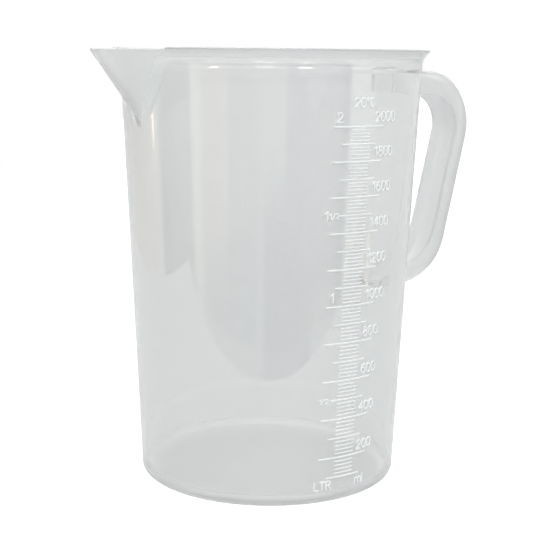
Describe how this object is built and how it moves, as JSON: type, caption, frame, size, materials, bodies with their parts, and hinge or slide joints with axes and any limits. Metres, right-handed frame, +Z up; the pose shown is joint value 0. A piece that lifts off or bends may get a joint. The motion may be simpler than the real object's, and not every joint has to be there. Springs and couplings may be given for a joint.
{
  "type": "measuring jug",
  "caption": "Tapered round measuring jug in clear plastic, with a pouring spout, a closed-loop channel handle, a rolled rim and a raised volume scale.",
  "frame": {"origin": "centre of the base, on the table that the jug stands on, on the vessel's axis", "axes": "+Z up along the vessel's axis; +X from the axis towards the handle, so the spout is towards -X; the graduated scale faces -Y"},
  "size_m": [0.2059, 0.146, 0.199],
  "materials": {
    "clear_polypropylene": "semi-clear natural polypropylene, as moulded, with a soft gloss",
    "raised_marks": "the same polypropylene with a fine spark-textured face that looks whiter than the wall"
  },
  "bodies": {
    "root": {"body_wall": "clear_polypropylene", "base_floor": "clear_polypropylene", "base_heel": "clear_polypropylene", "foot_ring": "clear_polypropylene", "gate_nub": "clear_polypropylene", "rim_lip": "clear_polypropylene", "pouring_spout": "clear_polypropylene", "handle_web": "clear_polypropylene", "handle_flange_front": "clear_polypropylene", "handle_flange_back": "clear_polypropylene", "graduation_lines_200ml": "raised_marks", "graduation_lines_100ml": "raised_marks", "graduation_lines_20ml": "raised_marks", "numerals_millilitre": "raised_marks", "numerals_litre": "raised_marks", "legend_litre": "raised_marks", "legend_millilitre": "raised_marks", "legend_temperature": "raised_marks"}
  },
  "joints": []
}
